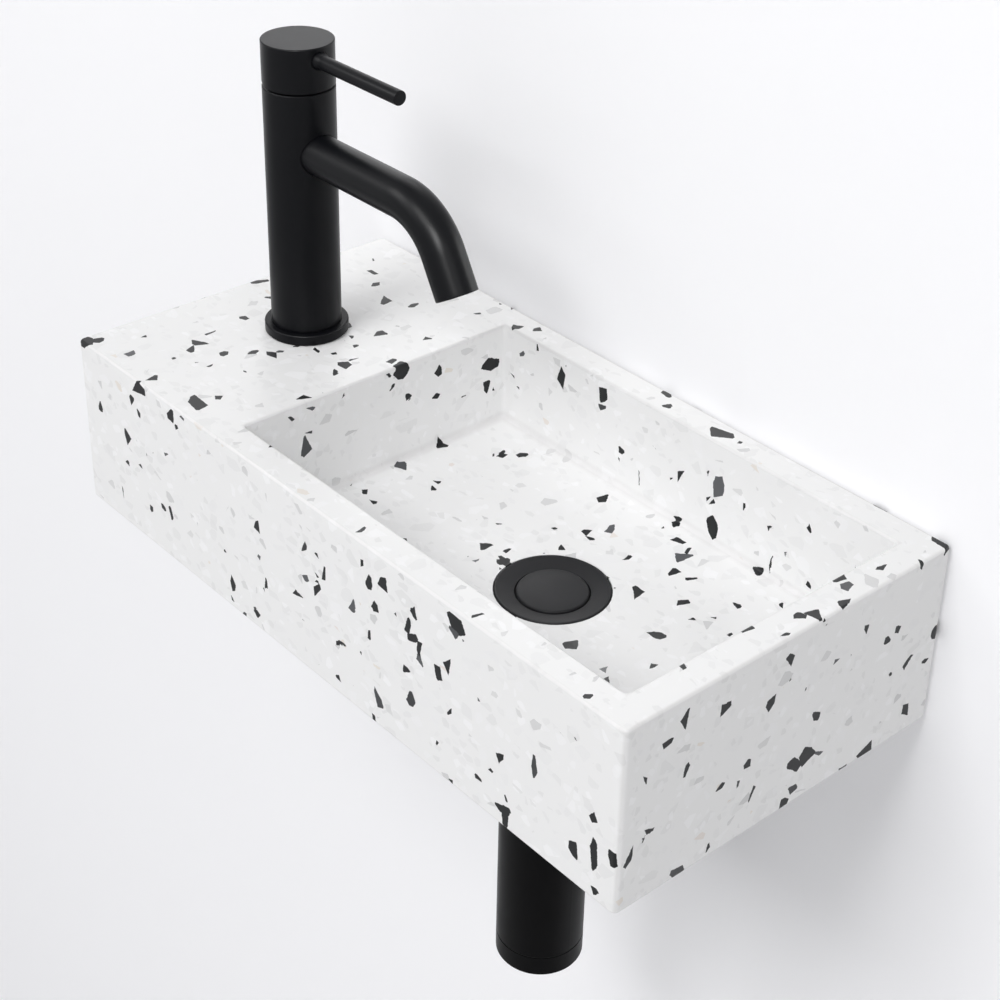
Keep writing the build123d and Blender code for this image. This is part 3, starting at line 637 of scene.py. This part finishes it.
def finish_mesh(name: str, mesh: bmesh.types.BMesh) -> bpy.types.Object:
    """Makes an object of a finished mesh, smooth, with its sharp edges kept.

    Args:
        name: the piece's name.
        mesh: the mesh, in metres. It is freed here.

    Returns:
        The new object, at the origin and linked to the scene.
    """
    data = bpy.data.meshes.new(name)
    mesh.to_mesh(data)
    mesh.free()
    obj = bpy.data.objects.new(name, data)
    bpy.context.scene.collection.objects.link(obj)
    shade(obj)
    return obj


def shade(obj: bpy.types.Object, angle: float = 32.0) -> None:
    """Shades a piece smooth, but for edges that bend by more than this angle in degrees."""
    obj.data.shade_smooth()
    obj.data.set_sharp_from_angle(angle=math.radians(angle))


def put(obj: bpy.types.Object, place_mm: Vector, lie: Lie = Lie.UP) -> None:
    """Moves a piece's mesh to its place, so that the object itself stays at the origin.

    Args:
        obj: the piece, made round the Z axis.
        place_mm: where its zero point goes, in millimetres.
        lie: where its axis points.
    """
    turns = {
        Lie.UP: Matrix.Identity(4),
        Lie.TO_THE_RIGHT: Matrix.Rotation(math.radians(90), 4, "Y"),
    }
    obj.data.transform(Matrix.Translation(place_mm * MM) @ turns[lie])


class RuleTree:
    """A Geometry Nodes tree that moves a mesh's points by a rule, and ends in Realize Instances and Set Material."""

    def __init__(self, name: str, sizes: Sequence[str]) -> None:
        """Makes the tree's sockets, and the values that its rule starts from.

        Args:
            name: the tree's name.
            sizes: the names of its number inputs.
        """
        self.tree = bpy.data.node_groups.new(name, "GeometryNodeTree")
        face = self.tree.interface
        face.new_socket("Geometry", in_out="INPUT", socket_type="NodeSocketGeometry")
        for size in sizes:
            face.new_socket(size, in_out="INPUT", socket_type="NodeSocketFloat")
        face.new_socket("Finish", in_out="INPUT", socket_type="NodeSocketMaterial")
        face.new_socket("Geometry", in_out="OUTPUT", socket_type="NodeSocketGeometry")
        self.given = add_node(self.tree, "NodeGroupInput").outputs
        place = add_node(self.tree, "GeometryNodeInputPosition").outputs[0]
        spot = add_node(self.tree, "ShaderNodeSeparateXYZ", {0: place}).outputs
        self.known = {"x": spot[0], "y": spot[1], "z": spot[2], **{size: self.given[size] for size in sizes}}

    def close(self, x: str, y: str, z: str) -> None:
        """Ends the tree: moves the points and sets the finish.

        Args:
            x: the name of the rule's new X.
            y: the name of its new Y.
            z: the name of its new Z.
        """
        moved = add_node(self.tree, "ShaderNodeCombineXYZ", {0: self.known[x], 1: self.known[y], 2: self.known[z]})
        shaped = add_node(self.tree, "GeometryNodeSetPosition", {
            "Geometry": self.given["Geometry"], "Position": moved.outputs[0],
        })
        real = add_node(self.tree, "GeometryNodeRealizeInstances", {0: shaped.outputs[0]})
        dressed = add_node(self.tree, "GeometryNodeSetMaterial", {
            "Geometry": real.outputs[0], "Material": self.given["Finish"],
        })
        add_node(self.tree, "NodeGroupOutput", {0: dressed.outputs[0]})

    def apply(self, obj: bpy.types.Object, values: dict[str, Any]) -> None:
        """Runs the tree on a piece and keeps the result as its plain mesh.

        Args:
            obj: the piece.
            values: each input's value, by its name.
        """
        modifier = obj.modifiers.new(self.tree.name, "NODES")
        modifier.node_group = self.tree
        for item in self.tree.interface.items_tree:
            if item.in_out == "INPUT" and item.name in values:
                modifier[item.identifier] = values[item.name]
        graph = bpy.context.evaluated_depsgraph_get()
        made = bpy.data.meshes.new_from_object(
            obj.evaluated_get(graph), preserve_all_data_layers=True, depsgraph=graph,
        )
        obj.modifiers.remove(modifier)
        obj.data = made
        shade(obj)


class ThreadRule(RuleTree):
    """Cuts a screw thread into a turned piece: the rows sink by a saw of one tooth for each turn and pitch."""

    skin: float = 0.01 * MM

    def __init__(self) -> None:
        """Builds the rule. Only points on the outer skin move."""
        super().__init__("screw_thread", ("Radius", "Pitch", "Depth", "Low", "High"))
        work_out(self.tree, self.known, (
            ("x_x", "MULTIPLY", "x", "x"), ("y_y", "MULTIPLY", "y", "y"),
            ("out", "ADD", "x_x", "y_y"), ("out", "SQRT", "out"),
            ("turn", "ARCTAN2", "y", "x"), ("turn", "DIVIDE", "turn", 2 * math.pi),
            ("climb", "DIVIDE", "z", "Pitch"), ("climb", "SUBTRACT", "climb", "turn"),
            ("tooth", "PINGPONG", "climb", 0.5), ("tooth", "MULTIPLY", "tooth", 2.0),
            # The thread runs out over half a pitch at both ends.
            ("to_low", "SUBTRACT", "z", "Low"), ("to_high", "SUBTRACT", "High", "z"),
            ("run_out", "MINIMUM", "to_low", "to_high"), ("run_out", "DIVIDE", "run_out", "Pitch"),
            ("run_out", "MINIMUM", "run_out", 0.5), ("run_out", "MAXIMUM", "run_out", 0.0),
            ("run_out", "MULTIPLY", "run_out", 2.0),
            ("skin", "SUBTRACT", "Radius", self.skin), ("outer", "GREATER_THAN", "out", "skin"),
            ("sink", "MULTIPLY", "tooth", "Depth"), ("sink", "MULTIPLY", "sink", "run_out"),
            ("sink", "MULTIPLY", "sink", "outer"),
            ("shrink", "DIVIDE", "sink", "out"), ("shrink", "SUBTRACT", 1.0, "shrink"),
            ("cut_x", "MULTIPLY", "x", "shrink"), ("cut_y", "MULTIPLY", "y", "shrink"),
        ))
        self.close("cut_x", "cut_y", "z")


class BendRule(RuleTree):
    """Bends a straight tube that lies along Z: straight first, then round an even bend, then straight again."""

    def __init__(self) -> None:
        """Builds the rule. The tube's own X becomes the side that looks up, and Y stays the level side."""
        super().__init__("spout_bend", ("Run", "Bend Radius", "Bend Angle"))
        work_out(self.tree, self.known, (
            ("past_run", "SUBTRACT", "z", "Run"), ("past_run", "MAXIMUM", "past_run", 0.0),
            ("arc", "MULTIPLY", "Bend Radius", "Bend Angle"), ("in_arc", "MINIMUM", "past_run", "arc"),
            ("tail", "SUBTRACT", "past_run", "in_arc"), ("angle", "DIVIDE", "in_arc", "Bend Radius"),
            ("sine", "SINE", "angle"), ("cosine", "COSINE", "angle"),
            ("arm", "ADD", "Bend Radius", "x"), ("straight", "MINIMUM", "z", "Run"),
            ("round", "MULTIPLY", "arm", "sine"), ("on", "MULTIPLY", "tail", "cosine"),
            ("out", "ADD", "straight", "round"), ("out", "ADD", "out", "on"),
            ("up", "MULTIPLY", "arm", "cosine"), ("up", "SUBTRACT", "up", "Bend Radius"),
            ("down", "MULTIPLY", "tail", "sine"), ("up", "SUBTRACT", "up", "down"),
        ))
        self.close("out", "y", "up")


# The basin's sub-assemblies


class Fitter:
    """Gives pieces their finish, body and material slot, and reports them."""

    def __init__(self, finishes: Finishes) -> None:
        """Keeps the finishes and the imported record's slot of each node."""
        self.finishes = finishes
        self.slot_of = {part["node"]: part["material_slot"] for part in frame["record"]["subparts"]}

    def keep(self, *nodes: str) -> None:
        """Dresses solids that are shown as they are.

        Args:
            *nodes: the solids' names.
        """
        for node in nodes:
            data = frame["nodes"][node].data
            finish = self.finishes.slots[self.slot_of[node]]
            for i in range(len(data.materials)):
                data.materials[i] = finish
            log.info("kept %s in %s", node, finish.name)

    def fit(self, obj: bpy.types.Object, body: Body, node: str) -> None:
        """Puts a new piece in the place of a solid.

        Args:
            obj: the finished piece.
            body: the body it moves with.
            node: the solid that it stands for.
        """
        finish = self.finishes.slots[self.slot_of[node]]
        obj.data.materials.clear()
        obj.data.materials.append(finish)
        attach(obj, body.value)
        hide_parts(node)
        low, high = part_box(node)
        corners = [Vector(v.co) for v in obj.data.vertices]
        off = max(max(abs(min(c[i] for c in corners) - low[i]), abs(max(c[i] for c in corners) - high[i]))
                  for i in range(3))
        log.info("made %s for %s in %s, %d faces, %.2f mm off its box", obj.name, node, finish.name,
                 len(obj.data.polygons), off / MM)


@dataclass
class StoneBlock:
    """The terrazzo block with its ledge and bowl."""

    fitter: Fitter

    def build(self) -> None:
        """Dresses the block."""
        self.fitter.keep("basin_block")


@dataclass
class MixerTap:
    """The lever mixer on the ledge. Heights are above the ledge, sizes in millimetres."""

    fitter: Fitter
    axis: tuple[float, float] = (-155.0, -110.0)
    ledge: float = 84.0
    radius: float = 20.2
    spout_root: float = 10.1
    spout_radius: float = 11.7
    spout_bore: float = 9.0
    spout_height: float = 113.5
    bend_start: float = 89.5
    bend_radius: float = 40.0
    bend_angle: float = 60.0
    spout_tail: float = 23.0
    aerator_radius: float = 9.9
    aerator_deep: float = 11.0
    row_mm: float = 1.5
    lever_height: float = 167.8
    lever_radius: float = 4.1
    lever_reach: float = 89.0
    lever_start: float = 11.3
    lever_stud: float = 3.0
    lever_flare: float = 0.9
    shank_radius: float = 14.0
    shank_bore: float = 11.2
    shank_foot: float = -52.0
    shank_top: float = 13.0
    thread_pitch: float = 1.5
    thread_depth: float = 0.8
    thread_end: float = -29.0

    def origin(self, height: float = 0.0, out: float = 0.0) -> Vector:
        """A point at this height over the ledge and this far out from the tap's axis towards the bowl."""
        return Vector((self.axis[0] + out, self.axis[1], self.ledge + height))

    def build(self) -> None:
        """Builds and dresses the tap."""
        self.fitter.keep(
            "tap_base_seal", "tap_base_ring", "tap_body", "aerator_housing", "aerator_screen", "cartridge",
            "cartridge_nut", "stem_carrier", "pivot_pin", "stem_blade", "handle_cap", "grub_screw",
            "shank_seal", "shank_plate", "shank_nut",
        )
        self.spout()
        self.lever()
        self.shank()

    def spout(self) -> None:
        """The bent spout tube, with a softly rounded outlet and the aerator's seat."""
        bend = math.radians(self.bend_angle) * self.bend_radius
        run = self.bend_start - self.spout_root
        length = run + bend + self.spout_tail
        corners = [
            (self.spout_bore, 0.0, 0.0),
            (self.spout_radius, 0.0, 0.0),
            (self.spout_radius, length, 0.5),
            (self.aerator_radius, length, 0.3),
            (self.aerator_radius, length - self.aerator_deep, 0.0),
            (self.spout_bore, length - self.aerator_deep, 0.0),
        ]
        points = soften(corners)
        for radius in (self.spout_radius, self.spout_bore, self.aerator_radius):
            points = divide(points, 0.0, length, self.row_mm, radius)
        tube = turn_mesh("spout_tube", points)
        rule = BendRule()
        rule.apply(tube, {
            "Run": run * MM, "Bend Radius": self.bend_radius * MM, "Bend Angle": math.radians(self.bend_angle),
            "Finish": self.fitter.finishes.tap_black,
        })
        put(tube, self.origin(self.spout_height, self.spout_root))
        self.fitter.fit(tube, Body.BASIN, "spout")

    def lever(self) -> None:
        """The pin lever, with its flared root and a lightly broken edge at the tip."""
        # The flare starts just inside the cap's wall, so that no gap shows round it.
        root = self.radius - 0.9
        flare = self.lever_radius + self.lever_flare
        corners = [
            (0.0, self.lever_start, 0.0),
            (self.lever_stud, self.lever_start, 0.3),
            (self.lever_stud, root, 0.0),
            (flare, root, 0.15),
            (flare, root + 1.2, 0.5),
            (self.lever_radius, root + 5.0, 3.0),
            (self.lever_radius, self.lever_reach, 0.45),
            (0.0, self.lever_reach, 0.0),
        ]
        pin = turn_mesh("lever", soften(corners), 64)
        put(pin, self.origin(self.lever_height), Lie.TO_THE_RIGHT)
        self.fitter.fit(pin, Body.HANDLE_LIFT, "lever_pin")

    def shank(self) -> None:
        """The threaded shank below the ledge."""
        corners = [
            (self.shank_bore, self.shank_foot, 0.3),
            (self.shank_radius, self.shank_foot, 0.6),
            (self.shank_radius, self.shank_top, 0.4),
            (self.shank_bore, self.shank_top, 0.3),
        ]
        low, high = self.shank_foot + 0.6, self.thread_end
        points = divide(soften(corners), low, high, self.thread_pitch / 8, self.shank_radius)
        tube = turn_mesh("tap_shank_tube", points, 72)
        rule = ThreadRule()
        rule.apply(tube, {
            "Radius": self.shank_radius * MM, "Pitch": self.thread_pitch * MM, "Depth": self.thread_depth * MM,
            "Low": low * MM, "High": high * MM, "Finish": self.fitter.finishes.brass,
        })
        put(tube, self.origin())
        self.fitter.fit(tube, Body.BASIN, "tap_shank")


@dataclass
class ClickWaste:
    """The click waste in the bowl's floor."""

    fitter: Fitter

    def build(self) -> None:
        """Dresses the waste."""
        self.fitter.keep(
            "waste_body", "waste_seal", "plug_cap", "plug_seal", "click_stem", "click_barrel", "waste_washer",
            "waste_backnut",
        )


@dataclass
class BottleTrap:
    """The bottle trap and its pipe to the wall."""

    fitter: Fitter

    def build(self) -> None:
        """Dresses the trap."""
        self.fitter.keep(
            "trap_inlet_nut", "inlet_seal", "inlet_tube", "trap_body_nut", "trap_body_seal", "trap_body",
            "trap_side_neck", "trap_cup", "cup_seal", "outlet_nut", "outlet_seal", "outlet_pipe", "wall_rosette",
        )


# The studio


@dataclass(frozen=True)
class Lamp:
    """A soft square lamp that faces the basin. Place and size in metres, power in watts.

    A glint draws highlights and adds no light to the matt faces.
    """

    name: str
    place: Corner
    size: float
    power: float
    glint: bool = False
    aim: Corner = (0.0, -0.1, 0.0)

    def build(self) -> None:
        """Hangs the lamp."""
        data = bpy.data.lights.new(self.name, "AREA")
        data.size = self.size
        data.energy = self.power
        obj = bpy.data.objects.new(self.name, data)
        obj.location = self.place
        obj.rotation_euler = (Vector(self.aim) - Vector(self.place)).to_track_quat("-Z", "Y").to_euler()
        obj.visible_diffuse = not self.glint
        bpy.context.scene.collection.objects.link(obj)


@dataclass
class Studio:
    """The pale wall and floor, the soft lamps and the camera. Sizes in metres."""

    floor_height: float = -1.35
    wall_gap: float = 0.0008
    reach: float = 4.0
    camera_place: tuple[float, float, float] = (0.66705, -0.68337, 0.61024)
    azimuth: float = 0.8492129
    elevation: float = 0.5112493
    roll: float = 0.0212045
    lens: float = 69.84
    shift: float = -0.12
    sensor: float = 36.0
    room: str = "#FBFBFC"
    room_light: float = 0.51
    floor: str = "#D3D3D4"

    def build(self) -> None:
        """Builds everything round the object."""
        self.wall_and_floor()
        self.world()
        for lamp in self.lamps():
            lamp.build()
        self.camera()

    def lamps(self) -> tuple[Lamp, ...]:
        """The lamps: a key above the viewer, two fills, and the glints that draw the black metal's edges."""
        return (
            Lamp("key_lamp", (0.2, -3.1, 3.34), 1.9, 91.0),
            Lamp("left_lamp", (-1.86, -3.32, 2.52), 2.7, 35.0),
            Lamp("right_lamp", (4.02, -0.8, 1.9), 2.7, 35.0),
            Lamp("right_glint", (1.134, -1.616, 1.547), 0.8, 62.0, glint=True),
            Lamp("left_glint", (-1.394, -1.616, 1.547), 0.8, 12.0, glint=True),
            Lamp("edge_glint", (0.688, 2.137, 0.379), 0.8, 42.0, glint=True),
            Lamp("top_glint", (-1.65, 1.44, 1.25), 0.9, 28.0, glint=True),
        )

    def plane(self, name: str, corners: Sequence[Corner], finish: bpy.types.Material) -> None:
        """Adds a flat sheet of the stage.

        Args:
            name: the sheet's name.
            corners: its four corners, counterclockwise from its front.
            finish: its material.
        """
        data = bpy.data.meshes.new(name)
        data.from_pydata(corners, [], [tuple(range(len(corners)))])
        data.materials.append(finish)
        obj = bpy.data.objects.new(name, data)
        bpy.context.scene.collection.objects.link(obj)

    def wall_and_floor(self) -> None:
        """The wall that the basin hangs on and the floor far below it."""
        r, z, y = self.reach, self.floor_height, self.wall_gap
        wall = PaintedWall().material()
        self.plane("wall", [(-r, y, z), (r, y, z), (r, y, r), (-r, y, r)], wall)
        floor = bpy.data.materials.new("pale_floor")
        floor.use_nodes = True
        surface = floor.node_tree.nodes["Principled BSDF"]
        surface.inputs["Base Color"].default_value = linear(self.floor)
        surface.inputs["Roughness"].default_value = 0.8
        self.plane("floor", [(-r, -r, z), (r, -r, z), (r, r, z), (-r, r, z)], floor)

    def world(self) -> None:
        """A plain pale room: white to the camera, softer as light on the object."""
        world = bpy.data.worlds.new("pale_room")
        bpy.context.scene.world = world
        world.use_nodes = True
        tree = world.node_tree
        tree.nodes.clear()
        ray = add_node(tree, "ShaderNodeLightPath").outputs
        known = {name: ray[f"Is {name} Ray"] for name in ("Camera", "Glossy", "Transmission")}
        seen = work_out(tree, known, (
            ("seen", "MAXIMUM", "Camera", "Glossy"), ("seen", "MAXIMUM", "seen", "Transmission"),
        ))
        strength = add_node(tree, "ShaderNodeMapRange", {0: seen, 3: self.room_light, 4: 1.0})
        sky = add_node(tree, "ShaderNodeBackground", {"Color": linear(self.room), "Strength": strength.outputs[0]})
        add_node(tree, "ShaderNodeOutputWorld", {"Surface": sky.outputs[0]})

    def camera(self) -> None:
        """The camera, seen from the right and above as in the photograph."""
        data = bpy.data.cameras.new("camera")
        data.lens = self.lens
        data.sensor_width = self.sensor
        data.shift_y = self.shift
        data.clip_start, data.clip_end = 0.05, 50.0
        obj = bpy.data.objects.new("camera", data)
        az, el = self.azimuth, self.elevation
        forward = Vector((-math.sin(az) * math.cos(el), math.cos(az) * math.cos(el), -math.sin(el)))
        level = Vector((math.cos(az), math.sin(az), 0.0))
        upright = level.cross(forward)
        right = math.cos(self.roll) * level + math.sin(self.roll) * upright
        up = -math.sin(self.roll) * level + math.cos(self.roll) * upright
        turn = Matrix((right, up, -forward)).transposed()
        obj.matrix_world = Matrix.Translation(self.camera_place) @ turn.to_4x4()
        bpy.context.scene.collection.objects.link(obj)
        bpy.context.scene.camera = obj


def main() -> None:
    """Builds the basin and its studio."""
    logging.basicConfig(level=logging.INFO, format="%(name)s: %(message)s")
    clear_start_up_objects()
    bpy.context.scene.view_settings.view_transform = "Standard"
    fitter = Fitter(Finishes())
    StoneBlock(fitter).build()
    MixerTap(fitter).build()
    ClickWaste(fitter).build()
    BottleTrap(fitter).build()
    Studio().build()


if __name__ == "__main__":
    main()
